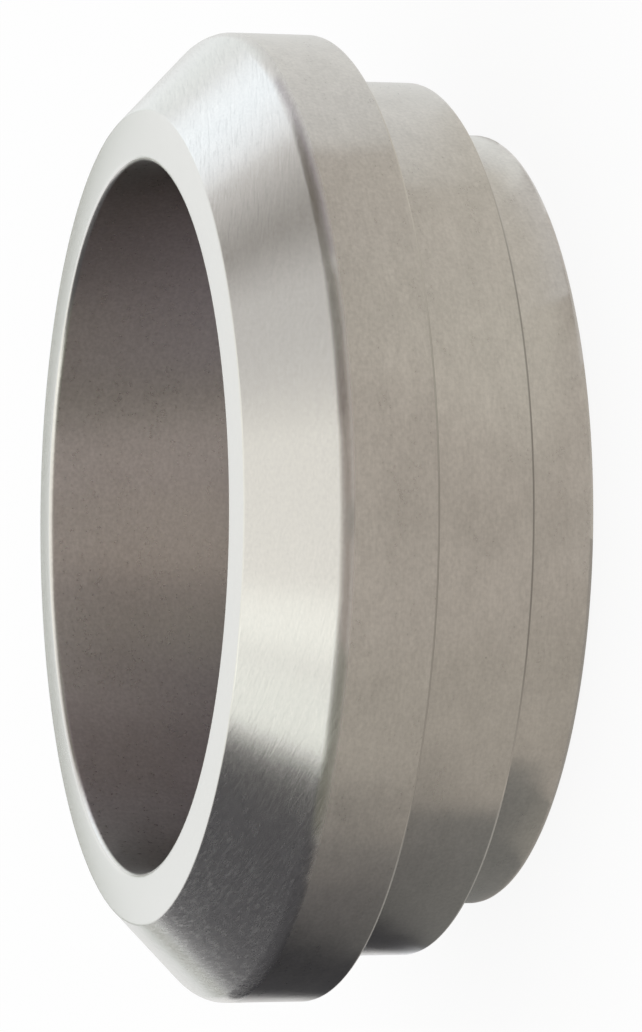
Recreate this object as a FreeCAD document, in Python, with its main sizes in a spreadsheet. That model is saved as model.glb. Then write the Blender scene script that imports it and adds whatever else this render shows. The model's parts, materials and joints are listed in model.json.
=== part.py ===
import FreeCAD, Part
import Sketcher
import math
import os

# Bevel seat ferrule for an inch and a half sanitary tube, turned in one piece.
# The ring stands on its weld end, with its axis on +Z and the bevelled nose up.
# The origin is the centre of the weld end's face, and all sizes are millimetres.

driving_sizes = {
    "tube_outside": 38.1,       # outside of the tube that is welded on
    "tube_wall": 1.65,          # wall of that tube, so the bore runs through without a step
    "weld_end_length": 3.75,    # straight stub that carries the weld
    "hub_step": 2.5,            # how far the hub, which the nut turns on, stands out from the stub
    "hub_length": 5.25,
    "land_step": 2.2,           # how far the land stands out from the hub, for the nut to pull on
    "land_length": 4.45,        # up to the sharp corner of the bevel
    "nose_face_width": 2.5,     # flat ring round the bore's mouth
    "bevel_angle": 45.0,        # degrees between the seat and the axis
    "seat_edge_radius": 1.0,    # rounded edge where the bevel meets the land
    "root_radius": 0.3,         # the cutting tool's corner in the two rear steps
    "mouth_break": 0.3,         # eased edge of the bore in the nose face
    "nose_edge_break": 0.2,     # edge between the bevel and the nose face
    "rear_rim_break": 0.15,     # rear edges of the land and the hub
    "weld_edge_break": 0.3,     # outside edge of the weld end
    "weld_bore_break": 0.2,     # inside edge of the weld end
}

doc = FreeCAD.newDocument("bevel_seat_ferrule")


def fill_sheet(sizes):
    sheet = doc.addObject("Spreadsheet::Sheet", "Sizes")
    for row, (name, value) in enumerate(sizes.items(), start=1):
        sheet.set("A%d" % row, name)
        sheet.set("B%d" % row, str(value))
        sheet.setAlias("B%d" % row, name)
    doc.recompute()


def find_corners(sizes):
    # corners of the half section as (radius, height), from the weld end up
    weld_radius = sizes["tube_outside"] / 2
    bore_radius = weld_radius - sizes["tube_wall"]
    nose_radius = bore_radius + sizes["nose_face_width"]
    hub_radius = weld_radius + sizes["hub_step"]
    land_radius = hub_radius + sizes["land_step"]
    hub_bottom = sizes["weld_end_length"]
    land_bottom = hub_bottom + sizes["hub_length"]
    land_top = land_bottom + sizes["land_length"]
    bevel_height = (land_radius - nose_radius) / math.tan(math.radians(sizes["bevel_angle"]))
    nose_height = land_top + bevel_height
    outside = {
        "weld_edge": (weld_radius, 0.0),
        "weld_root": (weld_radius, hub_bottom),
        "hub_rim": (hub_radius, hub_bottom),
        "hub_root": (hub_radius, land_bottom),
        "land_rim": (land_radius, land_bottom),
        "seat_edge": (land_radius, land_top),
        "nose_edge": (nose_radius, nose_height),
    }
    bore = {"weld_bore": (bore_radius, 0.0), "mouth": (bore_radius, nose_height)}
    return outside, bore


def add_sketch(body, name, role):
    plane = [item for item in body.Origin.OriginFeatures if item.Role == role][0]
    sketch = body.newObject("Sketcher::SketchObject", name)
    sketch.AttachmentSupport = [(plane, "")]
    sketch.MapMode = "FlatFace"
    return sketch


def add_dimension(sketch, name, kind, start, end, formula):
    span = sketch.getPoint(*end) - sketch.getPoint(*start)
    value = span.x if kind == "DistanceX" else span.y
    number = sketch.addConstraint(Sketcher.Constraint(kind, *start, *end, value))
    sketch.renameConstraint(number, name)
    sketch.setExpression("Constraints." + name, formula)


def add_radius(sketch, name, curve, value, formula):
    number = sketch.addConstraint(Sketcher.Constraint("Radius", curve, value))
    sketch.renameConstraint(number, name)
    sketch.setExpression("Constraints." + name, formula)


def turn_outside(body, corners, seat_edge_radius):
    # half section of the outside, closed along the axis and swept once round it
    sketch = add_sketch(body, "OutsideSection", "XZ_Plane")
    nose_height = corners["nose_edge"][1]
    outline = [(0.0, 0.0), *corners.values(), (0.0, nose_height)]
    points = [FreeCAD.Vector(radius, height, 0) for radius, height in outline]
    count = len(points)
    for index in range(count):
        sketch.addGeometry(Part.LineSegment(points[index], points[(index + 1) % count]), False)
    for index in range(count):
        sketch.addConstraint(Sketcher.Constraint("Coincident", index, 2, (index + 1) % count, 1))
    weld_face, weld_side, hub_step, hub_side, land_step, land_side, seat, nose_face, axis_line = range(count)
    for line in (weld_face, hub_step, land_step, nose_face):
        sketch.addConstraint(Sketcher.Constraint("Horizontal", line))
    for line in (weld_side, hub_side, land_side, axis_line):
        sketch.addConstraint(Sketcher.Constraint("Vertical", line))

    origin = (-1, 1)
    sketch.addConstraint(Sketcher.Constraint("Coincident", weld_face, 1, *origin))
    add_dimension(sketch, "weld_radius", "DistanceX", origin, (weld_side, 1), "Sizes.tube_outside / 2")
    add_dimension(sketch, "hub_radius", "DistanceX", origin, (hub_side, 1),
                  "Sizes.tube_outside / 2 + Sizes.hub_step")
    add_dimension(sketch, "land_radius", "DistanceX", origin, (land_side, 1),
                  "Sizes.tube_outside / 2 + Sizes.hub_step + Sizes.land_step")
    add_dimension(sketch, "nose_radius", "DistanceX", origin, (nose_face, 1),
                  "Sizes.tube_outside / 2 - Sizes.tube_wall + Sizes.nose_face_width")
    add_dimension(sketch, "weld_length", "DistanceY", (weld_side, 1), (weld_side, 2), "Sizes.weld_end_length")
    add_dimension(sketch, "hub_length", "DistanceY", (hub_side, 1), (hub_side, 2), "Sizes.hub_length")
    add_dimension(sketch, "land_length", "DistanceY", (land_side, 1), (land_side, 2), "Sizes.land_length")
    add_dimension(sketch, "bevel_height", "DistanceY", (seat, 1), (seat, 2),
                  "(Sizes.hub_step + Sizes.land_step + Sizes.tube_wall - Sizes.nose_face_width)"
                  " / tan(Sizes.bevel_angle * 1 deg)")
    doc.recompute()

    # the rounded seat edge is an arc tangent to the land and the bevel, whose lengths still end at the corner
    sketch.fillet(seat, 1, seat_edge_radius, True, True)
    seat_arc = count
    add_radius(sketch, "seat_edge_radius", seat_arc, seat_edge_radius, "Sizes.seat_edge_radius")
    doc.recompute()

    blank = body.newObject("PartDesign::Revolution", "TurnedOutside")
    blank.Profile = sketch
    blank.ReferenceAxis = (sketch, ["V_Axis"])
    blank.Angle = 360
    doc.recompute()


def bore_through(body, bore_radius):
    solid_volume = body.Shape.Volume
    sketch = add_sketch(body, "BoreCircle", "XY_Plane")
    circle = sketch.addGeometry(Part.Circle(FreeCAD.Vector(), FreeCAD.Vector(0, 0, 1), bore_radius), False)
    sketch.addConstraint(Sketcher.Constraint("Coincident", circle, 3, -1, 1))
    add_radius(sketch, "bore_radius", circle, bore_radius, "Sizes.tube_outside / 2 - Sizes.tube_wall")
    doc.recompute()

    bore = body.newObject("PartDesign::Pocket", "ThroughBore")
    bore.Profile = sketch
    bore.Type = "ThroughAll"
    bore.Reversed = True
    doc.recompute()
    if body.Shape.Volume >= solid_volume:
        raise RuntimeError("the bore cuts nothing")


def find_rims(shape, places):
    # names of the circular edges that lie at the given radii and heights
    tolerance = 1e-4
    names = []
    for number, edge in enumerate(shape.Edges, start=1):
        if isinstance(edge.Curve, Part.Circle):
            radius, height = edge.Curve.Radius, edge.Curve.Center.z
            if any(math.hypot(radius - place[0], height - place[1]) < tolerance for place in places):
                names.append("Edge%d" % number)
    if len(names) != len(places):
        raise RuntimeError("rims are missing at %s" % places)
    return names


def round_rims(body, name, places, size_name):
    carrier = body.Tip
    rims = find_rims(carrier.Shape, places)
    rounded = body.newObject("PartDesign::Fillet", name)
    rounded.Base = (carrier, rims)
    rounded.setExpression("Radius", "Sizes." + size_name)
    body.Tip = rounded
    doc.recompute()


def break_rims(body, name, places, size_name):
    carrier = body.Tip
    rims = find_rims(carrier.Shape, places)
    broken = body.newObject("PartDesign::Chamfer", name)
    broken.Base = (carrier, rims)
    broken.setExpression("Size", "Sizes." + size_name)
    body.Tip = broken
    doc.recompute()


def make_ferrule():
    outside, bore = find_corners(driving_sizes)
    body = doc.addObject("PartDesign::Body", "Ferrule")
    body.Label = "bevel_seat_ferrule"
    turn_outside(body, outside, driving_sizes["seat_edge_radius"])
    bore_through(body, bore["mouth"][0])
    round_rims(body, "StepRoots", [outside["hub_root"], outside["weld_root"]], "root_radius")
    break_rims(body, "BoreMouth", [bore["mouth"]], "mouth_break")
    break_rims(body, "NoseEdge", [outside["nose_edge"]], "nose_edge_break")
    break_rims(body, "RearRims", [outside["land_rim"], outside["hub_rim"]], "rear_rim_break")
    break_rims(body, "WeldEdge", [outside["weld_edge"]], "weld_edge_break")
    break_rims(body, "WeldBore", [bore["weld_bore"]], "weld_bore_break")
    return body


def check_document(pieces):
    doc.recompute()
    for item in doc.Objects:
        if "Invalid" in item.State or "Error" in item.State:
            raise RuntimeError("%s failed: %s" % (item.Name, item.State))
    for piece in pieces:
        if piece.Shape.isNull() or not piece.Shape.isValid():
            raise RuntimeError("%s has no valid shape" % piece.Label)
        if len(piece.Shape.Solids) != 1:
            raise RuntimeError("%s is not one solid" % piece.Label)


fill_sheet(driving_sizes)
pieces = [make_ferrule()]
check_document(pieces)
os.makedirs("parts", exist_ok=True)
for piece in pieces:
    piece.Shape.exportStep("parts/%s.step" % piece.Label)
    box = piece.Shape.optimalBoundingBox()
    print("%s: %.2f x %.2f x %.2f mm, %.0f cubic mm"
          % (piece.Label, box.XLength, box.YLength, box.ZLength, piece.Shape.Volume))
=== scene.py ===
import bpy
import json
import math
from mathutils import Matrix, Vector


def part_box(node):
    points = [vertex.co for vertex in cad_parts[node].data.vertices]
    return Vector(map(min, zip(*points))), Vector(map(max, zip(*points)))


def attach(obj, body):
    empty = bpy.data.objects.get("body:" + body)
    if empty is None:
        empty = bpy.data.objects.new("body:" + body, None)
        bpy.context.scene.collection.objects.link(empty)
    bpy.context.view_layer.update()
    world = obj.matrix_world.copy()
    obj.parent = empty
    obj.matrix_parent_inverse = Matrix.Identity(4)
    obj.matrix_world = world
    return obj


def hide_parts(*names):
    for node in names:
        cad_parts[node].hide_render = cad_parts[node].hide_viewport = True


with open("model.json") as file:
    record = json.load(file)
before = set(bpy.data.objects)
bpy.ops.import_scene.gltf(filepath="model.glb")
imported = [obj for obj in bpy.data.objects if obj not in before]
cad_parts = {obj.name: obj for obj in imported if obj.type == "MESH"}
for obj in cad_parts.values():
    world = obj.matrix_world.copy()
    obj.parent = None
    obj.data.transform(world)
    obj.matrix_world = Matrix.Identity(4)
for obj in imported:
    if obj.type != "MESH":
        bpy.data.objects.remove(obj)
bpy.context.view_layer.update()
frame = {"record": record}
mounts = {mount["name"]: mount for mount in frame["record"]["mounts"]}


def mountRadius(name):
    # mounts are written in millimetres, and the scene is in metres
    return mounts[name]["dims"]["r_mm"] / 1000


def deselectAll():
    bpy.ops.object.select_all(action="DESELECT")


def toEdit():
    bpy.ops.object.mode_set(mode="EDIT")


def toObject():
    bpy.ops.object.mode_set(mode="OBJECT")


# The ring is drawn as one circle that is pulled up and over along the turned profile.
ringForm = {
    "sides": 512,
    "noseFaceWidth": 0.0025,
    "noseFall": 0.00009,        # the nose face falls away this much towards the bevel
    "noseDrawnIn": 0.00010,     # and its outer edge lies this far inside the bevel's plane
    "hubBottom": 0.00375,       # where the weld stub ends and the hub begins
    "roundings": {              # radius, degrees that the profile turns there, and steps of the rounding
        "seatEdge": {"radius": 0.0010, "turn": 45, "steps": 8},        # between bevel and land
        "mouth": {"radius": 0.00030, "turn": 90, "steps": 5},
        "noseEdge": {"radius": 0.000193, "turn": 45, "steps": 4},
        "landRim": {"radius": 0.00013, "turn": 90, "steps": 3},
        "hubRim": {"radius": 0.00013, "turn": 90, "steps": 3},
        "hubRoot": {"radius": 0.00030, "turn": 90, "steps": 5},        # the turning tool's own corner
        "weldRoot": {"radius": 0.00030, "turn": 90, "steps": 5},
        "weldEdge": {"radius": 0.00030, "turn": 90, "steps": 4},
        "weldBore": {"radius": 0.00020, "turn": 90, "steps": 3},
    },
}


def ringCorners():
    # radius and height of each corner of the turned profile, from the weld end's bore round to the mouth
    low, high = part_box("bevel_seat_ferrule")
    boreRadius = mountRadius("bore")
    noseRadius = boreRadius + ringForm["noseFaceWidth"]
    noseFall = ringForm["noseFall"]
    landRadius = high.x
    shoulder = mounts["nut_shoulder"]["pos_m"][2]
    hubBottom = ringForm["hubBottom"]
    return {
        "weldBore": (boreRadius, low.z),
        "weldEdge": (mountRadius("weld_stub"), low.z),
        "weldRoot": (mountRadius("weld_stub"), hubBottom),
        "hubRim": (mountRadius("nut_hub"), hubBottom),
        "hubRoot": (mountRadius("nut_hub"), shoulder),
        "landRim": (landRadius, shoulder),
        "seatEdge": (landRadius, high.z - (landRadius - noseRadius)),     # the bevel stands at 45 degrees
        "noseEdge": (noseRadius + noseFall - ringForm["noseDrawnIn"], high.z - noseFall),
        "mouth": (boreRadius, high.z),
    }


def roundingReach(rim):
    # how far a rounding reaches from its corner along either side
    rounding = ringForm["roundings"][rim]
    return rounding["radius"] * math.tan(math.radians(rounding["turn"]) / 2)


def selectRims(ring, places):
    # the circles of edges that stand at these corners of the profile
    mesh = ring.data
    for part in (mesh.vertices, mesh.edges, mesh.polygons):
        part.foreach_set("select", [False] * len(part))
    near = 1e-6
    def onRim(vertex):
        radius, height = math.hypot(vertex.co.x, vertex.co.y), vertex.co.z
        return any(abs(radius - place[0]) < near and abs(height - place[1]) < near for place in places)
    chosen = {vertex.index for vertex in mesh.vertices if onRim(vertex)}
    for edge in mesh.edges:
        edge.select = edge.vertices[0] in chosen and edge.vertices[1] in chosen


def roundRim(ring, rim, place):
    roundProfile = 0.5
    selectRims(ring, [place])
    toEdit()
    bpy.ops.mesh.bevel(offset=roundingReach(rim), offset_type="OFFSET", profile=roundProfile,
                       segments=ringForm["roundings"][rim]["steps"], clamp_overlap=False)
    toObject()


def makeRing():
    corners = ringCorners()
    places = list(corners.values())
    deselectAll()
    bpy.ops.mesh.primitive_circle_add(vertices=ringForm["sides"], radius=places[0][0],
                                      location=(0, 0, places[0][1]))
    ring = bpy.context.object
    ring.name = "ferruleRing"
    toEdit()
    bpy.ops.mesh.select_mode(type="EDGE")
    bpy.ops.mesh.select_all(action="SELECT")
    for (radius, height), (nextRadius, nextHeight) in zip(places, places[1:]):
        bpy.ops.mesh.extrude_edges_move(TRANSFORM_OT_translate={"value": (0, 0, nextHeight - height)})
        if nextRadius != radius:
            grow = nextRadius / radius
            bpy.ops.transform.resize(value=(grow, grow, 1), center_override=(0, 0, nextHeight))
    toObject()
    selectRims(ring, [corners["mouth"], corners["weldBore"]])
    toEdit()
    bpy.ops.mesh.bridge_edge_loops()
    bpy.ops.mesh.select_all(action="SELECT")
    bpy.ops.mesh.normals_make_consistent(inside=False)
    toObject()
    for rim in ringForm["roundings"]:
        roundRim(ring, rim, corners[rim])
    bpy.ops.object.transform_apply(location=True, rotation=True, scale=True)
    bpy.ops.object.shade_smooth()
    bpy.ops.object.modifier_add(type="WEIGHTED_NORMAL")
    evenShading = ring.modifiers[-1]
    evenShading.keep_sharp = False
    evenShading.weight = 100                    # the wide faces set the shading, the roundings follow
    bpy.ops.object.modifier_apply(modifier=evenShading.name)
    print("ring:", len(ring.data.vertices), "points")
    return ring


def fed(tree, node, values):
    # plain numbers are set on the node's sockets, and other nodes' outputs are linked to them
    for socket, value in zip(node.inputs, values):
        if isinstance(value, (int, float)):
            socket.default_value = value
        else:
            tree.links.new(value, socket)
    return node.outputs[0]


def maths(tree, operation, first, second=0.0):
    node = tree.nodes.new("ShaderNodeMath")
    node.operation = operation
    return fed(tree, node, (first, second))


def joined(tree, first, second, third=0.0):
    return fed(tree, tree.nodes.new("ShaderNodeCombineXYZ"), (first, second, third))


def stretched(tree, value, low, high, toLow=0.0, toHigh=1.0):
    # the part of a value between low and high, spread over a new range and held to it
    node = tree.nodes.new("ShaderNodeMapRange")
    tree.links.new(value, node.inputs["Value"])
    node.inputs["From Min"].default_value = low
    node.inputs["From Max"].default_value = high
    node.inputs["To Min"].default_value = toLow
    node.inputs["To Max"].default_value = toHigh
    return node.outputs["Result"]


def newGroup(name, numbers, outcome):
    # a group that reads the place on the ring in millimetres and some numbers, and gives one mask
    group = bpy.data.node_groups.new(name, "ShaderNodeTree")
    group.interface.new_socket("Place", in_out="INPUT", socket_type="NodeSocketVector")
    for label, value in numbers.items():
        socket = group.interface.new_socket(label, in_out="INPUT", socket_type="NodeSocketFloat")
        socket.default_value = value
    group.interface.new_socket(outcome, in_out="OUTPUT", socket_type="NodeSocketFloat")
    given, result = group.nodes.new("NodeGroupInput"), group.nodes.new("NodeGroupOutput")
    return group, given.outputs, result.inputs[outcome]


def profilePlace(tree, place):
    # x, y and the way along the turned profile, which runs on over cylinders, flats and bevel alike
    split = tree.nodes.new("ShaderNodeSeparateXYZ")
    tree.links.new(place, split.inputs[0])
    across = maths(tree, "SQRT", maths(tree, "ADD", maths(tree, "POWER", split.outputs[0], 2.0),
                                       maths(tree, "POWER", split.outputs[1], 2.0)))
    return split.outputs[0], split.outputs[1], maths(tree, "SUBTRACT", split.outputs[2], across)


def noiseOn(tree, place, detail, dimensions="3D"):
    node = tree.nodes.new("ShaderNodeTexNoise")
    node.noise_dimensions = dimensions
    node.inputs["Scale"].default_value = 1
    node.inputs["Detail"].default_value = detail
    tree.links.new(place, node.inputs["Vector"])
    return node.outputs["Fac"]


def turningMarksGroup():
    # fine grooves round the axis, each some millimetres long and a hair wide
    group, given, mask = newGroup("turningMarks", {"Length": 3.0, "Width": 0.1, "Shift": 0.0}, "Marks")
    x, y, profile = profilePlace(group, given["Place"])
    place = joined(group, maths(group, "ADD", maths(group, "DIVIDE", x, given["Length"]), given["Shift"]),
                   maths(group, "DIVIDE", y, given["Length"]),
                   maths(group, "DIVIDE", profile, given["Width"]))
    lowNoise, highNoise = 0.3, 0.7
    group.links.new(stretched(group, noiseOn(group, place, 2), lowNoise, highNoise), mask)
    return group


def turnOf(tree, x, y):
    # the angle round the axis, from the camera's side towards +X
    return maths(tree, "ARCTAN2", x, maths(tree, "MULTIPLY", y, -1.0))


def slantedScratchesGroup():
    # short thin strokes that lean away from the grooves by so many degrees
    usual = {"Length": 1.2, "Width": 0.06, "Lean": 40.0, "Share": 0.1, "Soft": 0.1, "Shift": 0.0}
    group, given, mask = newGroup("slantedScratches", usual, "Scratches")
    x, y, profile = profilePlace(group, given["Place"])
    middleRadius = 21.8         # of the bevel
    noisePeak = 0.78            # the noise hardly ever rises above this
    along = maths(group, "MULTIPLY", turnOf(group, x, y), middleRadius)
    upward = maths(group, "MULTIPLY", profile, math.sqrt(0.5))       # the way up the bevel itself
    lean = maths(group, "RADIANS", given["Lean"])
    cosine, sine = maths(group, "COSINE", lean), maths(group, "SINE", lean)
    stroke = maths(group, "ADD", maths(group, "MULTIPLY", along, cosine),
                   maths(group, "MULTIPLY", upward, sine))
    over = maths(group, "SUBTRACT", maths(group, "MULTIPLY", upward, cosine),
                 maths(group, "MULTIPLY", along, sine))
    shifted = maths(group, "ADD", maths(group, "DIVIDE", stroke, given["Length"]), given["Shift"])
    place = joined(group, shifted, maths(group, "DIVIDE", over, given["Width"]))
    start = maths(group, "SUBTRACT", noisePeak, given["Share"])
    field = maths(group, "SUBTRACT", noiseOn(group, place, 1, "2D"), start)
    group.links.new(stretched(group, maths(group, "DIVIDE", field, given["Soft"]), 0, 1), mask)
    return group


def ringSectorGroup():
    # a sector of the ring, in degrees round the axis: it marks where the bevel was worked harder, and where
    # the rear rims get painted shade and a painted highlight; a negative fade picks the rest of the ring
    # instead
    group, given, mask = newGroup("ringSector", {"Turn": 0.0, "Reach": 30.0, "Fade": 15.0}, "Sector")
    x, y, profile = profilePlace(group, given["Place"])
    turn = maths(group, "DEGREES", turnOf(group, x, y))
    away = maths(group, "ABSOLUTE", maths(group, "SUBTRACT", turn, given["Turn"]))
    beyond = maths(group, "SUBTRACT", away, given["Reach"])
    group.links.new(stretched(group, maths(group, "DIVIDE", beyond, given["Fade"]), 0, 1, 1, 0), mask)
    return group


def scatteredPitsGroup():
    # a few round pits, one in each cell that is chosen by chance
    group, given, mask = newGroup("scatteredPits", {"Spacing": 1.5, "Size": 0.05, "Share": 0.1}, "Pits")
    grid = group.nodes.new("ShaderNodeVectorMath")
    grid.operation = "DIVIDE"
    group.links.new(given["Place"], grid.inputs[0])
    group.links.new(joined(group, given["Spacing"], given["Spacing"], given["Spacing"]), grid.inputs[1])
    cells = group.nodes.new("ShaderNodeTexVoronoi")
    cells.inputs["Scale"].default_value = 1
    group.links.new(grid.outputs[0], cells.inputs["Vector"])
    chance = group.nodes.new("ShaderNodeSeparateColor")
    group.links.new(cells.outputs["Color"], chance.inputs[0])
    chosen = maths(group, "LESS_THAN", chance.outputs[0], given["Share"])
    reach = maths(group, "DIVIDE", given["Size"], given["Spacing"])
    depth = maths(group, "SUBTRACT", 1.0, maths(group, "DIVIDE", cells.outputs["Distance"], reach))
    flatBottom = 0.6            # share of the depth at which a pit's bottom is reached
    group.links.new(maths(group, "MULTIPLY", stretched(group, depth, 0, flatBottom), chosen), mask)
    return group


markGroups = {
    "turning": turningMarksGroup(),
    "scratches": slantedScratchesGroup(),
    "sector": ringSectorGroup(),
    "pits": scatteredPitsGroup(),
}


def placeGroup(material, group, place, values):
    node = material.node_tree.nodes.new("ShaderNodeGroup")
    node.node_tree = markGroups[group]
    material.node_tree.links.new(place, node.inputs["Place"])
    for label, value in values.items():
        node.inputs[label].default_value = value
    return node.outputs[0]


def swung(tree, value, mask, amount):
    # a value that the mask moves down and up by the amount
    return maths(tree, "ADD", value, stretched(tree, mask, 0, 1, -amount, amount))


steelForm = {
    "grainRotation": 0.25,      # lays the stretched highlight across the turning marks
    "pitShade": 0.5,            # share of the tone that a pit takes away
    "bumpUnit": 0.001,          # depths are written in millimetres
}


def steelMaterial(name, finish):
    material = bpy.data.materials.new(name)
    material.use_nodes = True
    tree = material.node_tree
    nodes, links = tree.nodes, tree.links
    shader = nodes["Principled BSDF"]
    shader.inputs["Metallic"].default_value = 1
    shader.inputs["Anisotropic"].default_value = finish["anisotropic"]
    shader.inputs["Anisotropic Rotation"].default_value = steelForm["grainRotation"]
    tangent = nodes.new("ShaderNodeTangent")
    tangent.direction_type = "RADIAL"
    tangent.axis = "Z"
    links.new(tangent.outputs["Tangent"], shader.inputs["Tangent"])

    coordinates = nodes.new("ShaderNodeTexCoord")
    millimetres = nodes.new("ShaderNodeVectorMath")
    millimetres.operation = "SCALE"
    millimetres.inputs["Scale"].default_value = 1 / steelForm["bumpUnit"]
    links.new(coordinates.outputs["Object"], millimetres.inputs[0])
    place = millimetres.outputs[0]

    tone, rough, height = 1.0, finish["roughness"], 0.0
    for marks in finish["marks"]:
        mask = placeGroup(material, "turning", place, marks["size"])
        tone = swung(tree, tone, mask, marks["tone"])
        rough = swung(tree, rough, mask, marks["rough"])
        height = swung(tree, height, mask, marks["depth"])
    for strokes in finish["strokes"]:
        mask = placeGroup(material, "scratches", place, strokes["size"])
        crowd = placeGroup(material, "turning", place, strokes["crowd"])
        mask = maths(tree, "MULTIPLY", mask, stretched(tree, crowd, 0, 1, strokes["thinnest"], 1))
        if "sector" in strokes:
            mask = maths(tree, "MULTIPLY", mask, placeGroup(material, "sector", place, strokes["sector"]))
        tone = maths(tree, "ADD", tone, maths(tree, "MULTIPLY", mask, strokes["tone"]))
        rough = maths(tree, "ADD", rough, maths(tree, "MULTIPLY", mask, strokes["rough"]))
        height = maths(tree, "SUBTRACT", height, maths(tree, "MULTIPLY", mask, strokes["depth"]))
    # painted shade and painted highlight: the tone is scaled inside a sector of the ring
    for paintedLightSector in finish.get("paintedLightSectors", []):
        mask = placeGroup(material, "sector", place, paintedLightSector["sector"])
        tone = maths(tree, "MULTIPLY", tone, stretched(tree, mask, 0, 1, 1, paintedLightSector["tone"]))
    pits = placeGroup(material, "pits", place, finish["pits"])
    shade = maths(tree, "MULTIPLY", pits, steelForm["pitShade"])
    tone = maths(tree, "MULTIPLY", tone, maths(tree, "SUBTRACT", 1.0, shade))
    height = maths(tree, "SUBTRACT", height, maths(tree, "MULTIPLY", pits, finish["pitDepth"]))

    colour = nodes.new("ShaderNodeVectorMath")
    colour.operation = "SCALE"
    colour.inputs[0].default_value = finish["base"]
    links.new(tone, colour.inputs["Scale"])
    links.new(colour.outputs[0], shader.inputs["Base Color"])
    links.new(rough, shader.inputs["Roughness"])
    bump = nodes.new("ShaderNodeBump")
    bump.inputs["Strength"].default_value = 1
    bump.inputs["Distance"].default_value = steelForm["bumpUnit"]
    links.new(height, bump.inputs["Height"])
    links.new(bump.outputs["Normal"], shader.inputs["Normal"])
    return material


def fineMarks(length, width, shift, tone, rough, depth):
    # sizes are millimetres, and the last three say how far the marks move the plain steel
    size = {"Length": length, "Width": width, "Shift": shift}
    return {"size": size, "tone": tone, "rough": rough, "depth": depth}


sideFinish = {
    "base": (0.60, 0.575, 0.54),
    "roughness": 0.30,
    "anisotropic": 0.83,
    "marks": [
        fineMarks(length=0.60, width=0.11, shift=0.0, tone=0.034, rough=0.010, depth=0.0003),
        fineMarks(length=7.0, width=0.50, shift=7.0, tone=0.018, rough=0.010, depth=0),
        fineMarks(length=2.8, width=1.6, shift=3.0, tone=0.045, rough=0.008, depth=0),
        fineMarks(length=1.1, width=0.50, shift=4.0, tone=0.030, rough=0.008, depth=0),
        fineMarks(length=0.20, width=0.17, shift=2.0, tone=0.070, rough=0.014, depth=0.0005),
    ],
    "strokes": [],
    "pits": {"Spacing": 1.6, "Size": 0.06, "Share": 0.03},
    "pitDepth": 0.0015,
}

bevelFinish = {
    "base": (0.60, 0.58, 0.55),
    "roughness": 0.245,
    "anisotropic": 0.98,
    "marks": [
        fineMarks(length=0.80, width=0.11, shift=3.0, tone=0.014, rough=0.008, depth=0.0001),
        fineMarks(length=5.0, width=0.45, shift=11.0, tone=0.010, rough=0.006, depth=0),
        fineMarks(length=2.4, width=1.3, shift=6.0, tone=0.014, rough=0.006, depth=0),
        fineMarks(length=0.20, width=0.17, shift=5.0, tone=0.036, rough=0.006, depth=0.0001),
    ],
    "strokes": [
        {"size": {"Length": 1.5, "Width": 0.20, "Lean": 163.0, "Share": 0.26, "Soft": 0.12, "Shift": 0.0},
         "crowd": {"Length": 4.0, "Width": 3.0, "Shift": 4.0}, "thinnest": 0.4,
         "sector": {"Turn": 10.0, "Reach": 45.0, "Fade": -35.0},
         "tone": 0.055, "rough": 0.010, "depth": 0.0008},
        {"size": {"Length": 1.6, "Width": 0.13, "Lean": 166.0, "Share": 0.18, "Soft": 0.06, "Shift": 5.0},
         "crowd": {"Length": 5.0, "Width": 3.0, "Shift": 9.0}, "thinnest": 0.3,
         "sector": {"Turn": 10.0, "Reach": 45.0, "Fade": -35.0},
         "tone": -0.080, "rough": 0.010, "depth": 0.0008},
        # The next strokes, round −60 degrees where the bevel lies dark, are real scratches; the lighter
        # tone of the first of them is a painted glint.
        {"size": {"Length": 0.8, "Width": 0.11, "Lean": 168.0, "Share": 0.20, "Soft": 0.05, "Shift": 9.0},
         "crowd": {"Length": 3.0, "Width": 3.0, "Shift": 2.0}, "thinnest": 0.3,
         "sector": {"Turn": -60.0, "Reach": 14.0, "Fade": 16.0},
         "tone": 0.19, "rough": 0.05, "depth": 0.0006},
        {"size": {"Length": 0.7, "Width": 0.13, "Lean": 166.0, "Share": 0.22, "Soft": 0.06, "Shift": 3.0},
         "crowd": {"Length": 3.0, "Width": 3.0, "Shift": 6.0}, "thinnest": 0.3,
         "sector": {"Turn": -60.0, "Reach": 18.0, "Fade": 16.0},
         "tone": -0.12, "rough": 0.0, "depth": 0.0006},
    ],
    "pits": {"Spacing": 1.8, "Size": 0.05, "Share": 0.015},
    "pitDepth": 0.002,
}

noseFinish = {
    "base": (0.60, 0.585, 0.545),
    "roughness": 0.237,
    "anisotropic": 0.40,
    "marks": [
        fineMarks(length=0.8, width=0.10, shift=5.0, tone=0.015, rough=0.010, depth=0.0002),
        fineMarks(length=0.26, width=0.20, shift=8.0, tone=0.020, rough=0.012, depth=0.0003),
    ],
    "strokes": [],
    "pits": {"Spacing": 1.5, "Size": 0.05, "Share": 0.04},
    "pitDepth": 0.003,
}

boreFinish = {
    "base": (0.55, 0.52, 0.50),
    "roughness": 0.295,
    "anisotropic": 0.88,
    "marks": [
        fineMarks(length=3.0, width=0.50, shift=9.0, tone=0.02, rough=0.010, depth=0),
        fineMarks(length=0.50, width=0.45, shift=6.0, tone=0.035, rough=0.010, depth=0),
        fineMarks(length=0.20, width=0.18, shift=1.0, tone=0.095, rough=0.020, depth=0.0008),
    ],
    "strokes": [],
    "pits": {"Spacing": 1.5, "Size": 0.05, "Share": 0.015},
    "pitDepth": 0.003,
}
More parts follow.
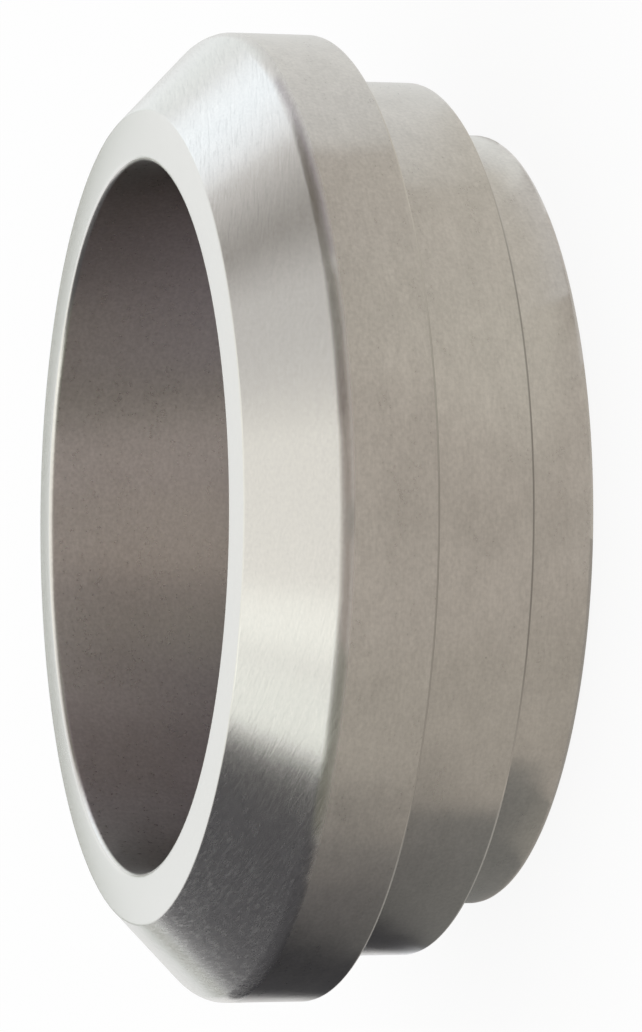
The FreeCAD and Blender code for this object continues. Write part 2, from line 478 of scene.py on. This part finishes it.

# The rear rims are darkened in front by painted shade, and on the lower side they get a painted highlight.
paintedRimHighlight = {"sector": {"Turn": -60.0, "Reach": 17.0, "Fade": 10.0}, "tone": 1.6}
hubRimFinishAndPaintedLight = dict(noseFinish, base=(0.60, 0.575, 0.54), roughness=0.30, paintedLightSectors=[
    {"sector": {"Turn": 8.0, "Reach": 24.0, "Fade": 24.0}, "tone": 0.56}, paintedRimHighlight])
landRimFinishAndPaintedLight = dict(noseFinish, base=(0.60, 0.575, 0.54), roughness=0.30, paintedLightSectors=[
    {"sector": {"Turn": -4.0, "Reach": 22.0, "Fade": 20.0}, "tone": 0.74}, paintedRimHighlight])
rearFinish = dict(noseFinish, base=(0.58, 0.555, 0.52), roughness=0.28)


zoneForm = {
    "bevelMargin": 0.0001,      # the bevel's finish begins this far inside the nose's edge
    "noseDepth": 0.0004,        # the nose's finish ends this far below its edge
    "noseUp": 0.8,              # and lies where the faces point up at least this much
    "boreMargin": 0.00002,
    "backUp": -0.5,             # faces that point down more than this are the rear ones
}


def giveZone(ring, number, inZone):
    # faces whose centre lies in a zone, told by radius, height and slope, get the material of that number
    deselectAll()
    ring.select_set(True)
    bpy.context.view_layer.objects.active = ring
    for polygon in ring.data.polygons:
        centre = polygon.center
        polygon.select = inZone(math.hypot(centre.x, centre.y), centre.z, polygon.normal.z)
    ring.active_material_index = number
    toEdit()
    bpy.ops.mesh.select_mode(type="FACE")
    bpy.ops.object.material_slot_assign()
    toObject()


def finishRing(ring):
    corners = ringCorners()
    noseRadius, noseHeight = corners["noseEdge"]
    bevelInside = noseRadius - zoneForm["bevelMargin"]
    bevelFoot = corners["seatEdge"][1] - roundingReach("seatEdge")
    noseFoot = noseHeight - zoneForm["noseDepth"]
    boreReach = corners["mouth"][0] + zoneForm["boreMargin"]
    def nearRim(name, radius, height):
        return math.hypot(radius - corners[name][0], height - corners[name][1]) < roundingReach(name)
    zones = [
        ("turnedSides", sideFinish, lambda radius, height, up: True),
        ("brushedBevel", bevelFinish,
         lambda radius, height, up: radius > bevelInside and height > bevelFoot),
        ("facedNose", noseFinish,
         lambda radius, height, up: up > zoneForm["noseUp"] and height > noseFoot),
        ("drawnBore", boreFinish, lambda radius, height, up: radius < boreReach),
        ("cutBack", rearFinish, lambda radius, height, up: up < zoneForm["backUp"]),
        # the rear rims' materials hold painted shade in front and a painted highlight on the lower side
        ("easedLandRimWithPaintedLight", landRimFinishAndPaintedLight, lambda radius, height, up: nearRim("landRim", radius, height)),
        ("easedHubRimWithPaintedLight", hubRimFinishAndPaintedLight, lambda radius, height, up: nearRim("hubRim", radius, height)),
    ]
    for number, (name, finish, inZone) in enumerate(zones):
        ring.data.materials.append(steelMaterial(name, finish))
        giveZone(ring, number, inZone)
    print("finishes:", len(ring.data.materials), "on the ring")


ring = makeRing()
finishRing(ring)
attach(ring, "root")
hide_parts("bevel_seat_ferrule")


floorForm = {
    "size": 6,
    "drop": 0.0002,             # the floor lies this far under the ring, below the mats
    "paint": 0.9,
    "white": 0.9,               # share of plain white in the tone that the floor shows
}


def whiteStageMaterial(name, share):
    # the camera and mirrored rays see it as white with a faint shadow, other light as white paint
    material = bpy.data.materials.new(name)
    material.use_nodes = True
    tree = material.node_tree
    nodes, links = tree.nodes, tree.links
    nodes.clear()
    paint = nodes.new("ShaderNodeBsdfDiffuse")
    paint.inputs["Color"].default_value = (floorForm["paint"],) * 3 + (1,)
    white = nodes.new("ShaderNodeEmission")
    white.inputs["Strength"].default_value = 1
    path = nodes.new("ShaderNodeLightPath").outputs
    seen = maths(tree, "ADD", path["Is Camera Ray"], path["Is Glossy Ray"])
    seen = maths(tree, "MINIMUM", maths(tree, "ADD", seen, path["Is Transmission Ray"]), 1.0)
    mix = nodes.new("ShaderNodeMixShader")
    links.new(maths(tree, "MULTIPLY", seen, share), mix.inputs[0])
    links.new(paint.outputs[0], mix.inputs[1])
    links.new(white.outputs[0], mix.inputs[2])
    output = nodes.new("ShaderNodeOutputMaterial")
    links.new(mix.outputs[0], output.inputs["Surface"])
    return material


def makeFloor():
    deselectAll()
    bpy.ops.mesh.primitive_plane_add(size=floorForm["size"], location=(0, 0, -floorForm["drop"]))
    floor = bpy.context.object
    floor.name = "floor"
    floor.data.materials.append(whiteStageMaterial("whiteFloor", floorForm["white"]))


makeFloor()

# Cards that the steel mirrors. A card's turn runs from the camera's side towards +X. It stands some way off
# and rises between two heights, or lies flat from one distance out to another, or is a disc round the axis.
studioCards = {
    # standing round the ring
    "lensDark": {"turn": 0, "away": 0.26, "side": (-0.018, 0.014), "rise": (0, 0.14),
                 "tone": (0.41, 0.40, 0.38)},
    "flagLeft": {"turn": 251, "away": 0.35, "side": (-0.300, 0.215), "rise": (0, 0.56),
                 "tone": (0.11, 0.11, 0.12)},
    "softFrontLeft": {"turn": 288, "away": 0.45, "side": (-0.22, 0.07), "rise": (0.44, 1.22),
                      "tone": (1.60, 1.68, 1.63)},
    "darkFrontLeft": {"turn": 315, "away": 0.45, "side": (-0.285, 0.12), "rise": (0.01, 0.53),
                      "tone": (0.25, 0.25, 0.21)},
    "patchGlow": {"turn": 133, "away": 0.46, "side": (-0.086, 0.155), "rise": (0.148, 0.354),
                  "tone": (1.50, 1.63, 1.75)},
    "backSoft": {"turn": 165, "away": 0.50, "side": (-0.79, 0.43), "rise": (0.147, 0.53),
                 "tone": (1.22, 1.25, 1.29)},
    "backFoot": {"turn": 172, "away": 0.50, "side": (-0.42, 0.46), "rise": (0, 0.137),
                 "tone": (1.08, 1.14, 1.15)},
    "backGap": {"turn": 180, "away": 0.49, "side": (-0.34, 0.40), "rise": (0.041, 0.094),
                "tone": (0.19, 0.18, 0.12)},
    "gapRight": {"turn": 93, "away": 0.40, "side": (-0.13, 0.09), "rise": (0.105, 0.495),
                 "tone": (0.17, 0.15, 0.12)},
    "gapRightLow": {"turn": 84, "away": 0.42, "side": (-0.18, 0.315), "rise": (0.013, 0.125),
                    "tone": (0.47, 0.43, 0.49)},
    "greyRight": {"turn": 41, "away": 0.50, "side": (-0.30, 0.365), "rise": (0.15, 0.70),
                  "tone": (0.26, 0.25, 0.22)},
    "greyFront": {"turn": 13.5, "away": 0.45, "side": (-0.39, 0.44), "rise": (0.065, 0.765),
                  "tone": (0.25, 0.21, 0.19)},
    "greyFrontNear": {"turn": 13.5, "away": 0.44, "side": (-0.43, 0.08), "rise": (0.064, 0.75),
                      "tone": (0.36, 0.31, 0.28)},
    "footFront": {"turn": 4.5, "away": 0.46, "side": (-0.425, 0.34), "rise": (0, 0.031),
                  "tone": (1.34, 1.25, 1.21)},
    # overhead
    "softAbove": {"turn": 0, "side": (-0.225, 0.205), "out": (-0.695, 0.55), "height": 0.60,
                  "tone": (1.35, 1.36, 1.32)},
    "glowAbove": {"turn": 0, "side": (-0.245, -0.125), "out": (-0.265, 0.275), "height": 0.59,
                  "tone": (1.75, 1.81, 1.75)},
    # mats inside the ring, for the far wall of the bore
    "boreGlow": {"turn": 0, "side": (-0.006, -0.003), "out": (-0.0165, 0.0165), "height": -0.00002,
                 "tone": (0.80, 0.72, 0.70)},
    "boreBandNear": {"turn": 0, "side": (-0.0090, 0.0072), "out": (0, 0.0155), "height": -0.00003,
                     "tone": (0.97, 0.88, 0.77)},
    "boreBandFar": {"turn": 0, "side": (-0.0090, 0.0072), "out": (-0.0155, 0), "height": -0.00003,
                    "tone": (0.03, 0.03, 0.03)},
    "boreLeftNear": {"turn": 0, "side": (-0.0150, -0.0090), "out": (0, 0.0115), "height": -0.00003,
                     "tone": (0.37, 0.36, 0.33)},
    "boreLeftFar": {"turn": 0, "side": (-0.0150, -0.0090), "out": (-0.0115, 0), "height": -0.00003,
                    "tone": (0.30, 0.29, 0.38)},
    "boreRightNear": {"turn": 0, "side": (0.0072, 0.0150), "out": (0, 0.0115), "height": -0.00003,
                      "tone": (0.63, 0.61, 0.55)},
    "boreRightFar": {"turn": 0, "side": (0.0072, 0.0150), "out": (-0.0115, 0), "height": -0.00003,
                     "tone": (0.17, 0.16, 0.21)},
    "boreDisc": {"radius": 0.0176, "height": -0.000035, "tone": (0.29, 0.26, 0.34)},
    # mats under and just round the ring's foot, for the weld end
    "footDisc": {"radius": 0.01935, "height": -0.00004, "tone": (0.44, 0.42, 0.39)},
    "footFrontNear": {"turn": 10, "side": (-0.0065, 0.0065), "out": (0.0170, 0.0215), "height": -0.000043,
                      "tone": (0.62, 0.58, 0.53)},
    "footMiddleNear": {"turn": 50, "side": (-0.0050, 0.0050), "out": (0.0170, 0.0215), "height": -0.000045,
                       "tone": (0.78, 0.77, 0.75)},
    "footRightNear": {"turn": 76, "side": (-0.0050, 0.0050), "out": (0.0170, 0.0215), "height": -0.000047,
                      "tone": (0.95, 0.97, 0.96)},
    "footLeftNear": {"turn": 306, "side": (-0.0032, 0.0025), "out": (0.0160, 0.0215), "height": -0.000049,
                     "tone": (0.38, 0.37, 0.34)},
    "footEdgeFront": {"turn": 10, "side": (-0.0042, 0.0042), "out": (0.0183, 0.0192), "height": -0.000037,
                      "tone": (0.66, 0.63, 0.58)},
    "footEdgeMiddle": {"turn": 36, "side": (-0.0050, 0.0050), "out": (0.0183, 0.0192), "height": -0.000038,
                       "tone": (0.74, 0.72, 0.69)},
    "footEdgeRight": {"turn": 62, "side": (-0.0050, 0.0050), "out": (0.0183, 0.0192), "height": -0.000039,
                      "tone": (0.90, 0.90, 0.89)},
    # mats on the floor, for the sides
    "matCornerNear": {"turn": 279, "side": (-0.010, 0.014), "out": (0.018, 0.044), "height": -0.00005,
                      "tone": (0.25, 0.25, 0.24)},
    "matCorner": {"turn": 281, "side": (-0.012, 0.030), "out": (0.045, 0.086), "height": -0.00005,
                  "tone": (0.20, 0.19, 0.19)},
    "matFrontRight": {"turn": 50, "side": (-0.020, 0.018), "out": (0.020, 0.052), "height": -0.00006,
                      "tone": (0.75, 0.72, 0.65)},
    "matFront": {"turn": 0, "side": (-0.21, 0.21), "out": (0.012, 0.50), "height": -0.00007,
                 "tone": (0.55, 0.51, 0.46)},
    "matRight": {"turn": 90, "side": (-0.012, 0.232), "out": (0.017, 0.485), "height": -0.00008,
                 "tone": (0.88, 0.89, 0.88)},
    "matBack": {"turn": 180, "side": (-0.306, 0.026), "out": (-0.042, 0.475), "height": -0.00009,
                "tone": (1.24, 1.27, 1.33)},
    "matLeft": {"turn": 208, "side": (0.018, 0.40), "out": (-0.01, 0.30), "height": -0.00010,
                "tone": (0.055, 0.055, 0.06)},
}


def makeCard(name, card):
    discSides = 96
    deselectAll()
    if "radius" in card:
        middle = Vector((0, 0, card["height"]))
        bpy.ops.mesh.primitive_circle_add(vertices=discSides, radius=card["radius"], fill_type="NGON",
                                          location=middle)
    else:
        turn = math.radians(card["turn"])
        outward = Vector((math.sin(turn), -math.cos(turn), 0))
        sideways = Vector((math.cos(turn), math.sin(turn), 0))
        left, right = card["side"]
        middle = sideways * (left + right) / 2
        if "rise" in card:
            low, high = card["rise"]
            middle += outward * card["away"] + Vector((0, 0, (low + high) / 2))
            lean = (math.pi / 2, 0, turn)
        else:
            low, high = card["out"]
            middle += outward * (low + high) / 2 + Vector((0, 0, card["height"]))
            lean = (0, 0, turn)
        bpy.ops.mesh.primitive_plane_add(size=1, location=middle, rotation=lean)
        bpy.context.object.scale = (right - left, high - low, 1)
    board = bpy.context.object
    board.name = name
    bpy.ops.object.transform_apply(location=True, rotation=True, scale=True)
    material = bpy.data.materials.new(name + "Tone")
    material.use_nodes = True
    nodes, links = material.node_tree.nodes, material.node_tree.links
    nodes.clear()
    glow = nodes.new("ShaderNodeEmission")
    glow.inputs["Color"].default_value = (*card["tone"], 1)
    output = nodes.new("ShaderNodeOutputMaterial")
    links.new(glow.outputs[0], output.inputs["Surface"])
    board.data.materials.append(material)
    board.visible_camera = False
    board.visible_diffuse = False
    board.visible_shadow = middle.z > 0         # the mats are too near the floor to shade it


for name, card in studioCards.items():
    makeCard(name, card)
print("studio:", len(studioCards), "cards")

cameraView = {
    "noseInView": (-0.0091865, -0.0000523, -0.280013),      # the nose face's centre: right, up and back
    "turn": 16.274,             # degrees that the nose is turned towards the camera
    "tilt": -0.384,             # degrees that the ring's axis leans in the picture
    "lens": 199.757,
    "sensor": 36,
    "nearest": 0.01,
    "farthest": 20,
}


def placeCamera():
    turn, tilt = math.radians(cameraView["turn"]), math.radians(cameraView["tilt"])
    upward = Vector((-math.cos(turn) * math.cos(tilt), -math.cos(turn) * math.sin(tilt), math.sin(turn)))
    sideways = (Vector((0, 1, 0)) - upward * upward.y).normalized()
    turned = Matrix((sideways, upward.cross(sideways), upward))
    noseCentre = Vector((0, 0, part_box("bevel_seat_ferrule")[1].z))
    place = noseCentre - turned @ Vector(cameraView["noseInView"])
    bpy.ops.object.camera_add()
    camera = bpy.context.object
    camera.name = "photoCamera"
    camera.matrix_world = Matrix.Translation(place) @ turned.to_4x4()
    camera.data.sensor_width = cameraView["sensor"]
    camera.data.lens = cameraView["lens"]
    camera.data.clip_start = cameraView["nearest"]
    camera.data.clip_end = cameraView["farthest"]
    bpy.context.scene.camera = camera
    print("camera at", [round(value, 4) for value in place])


placeCamera()


def makeWorld():
    world = bpy.data.worlds.new("studio")
    world.use_nodes = True
    background = world.node_tree.nodes["Background"]
    background.inputs["Color"].default_value = (1, 1, 1, 1)
    background.inputs["Strength"].default_value = 1
    bpy.context.scene.world = world


makeWorld()
bpy.context.scene.view_settings.view_transform = "Standard"
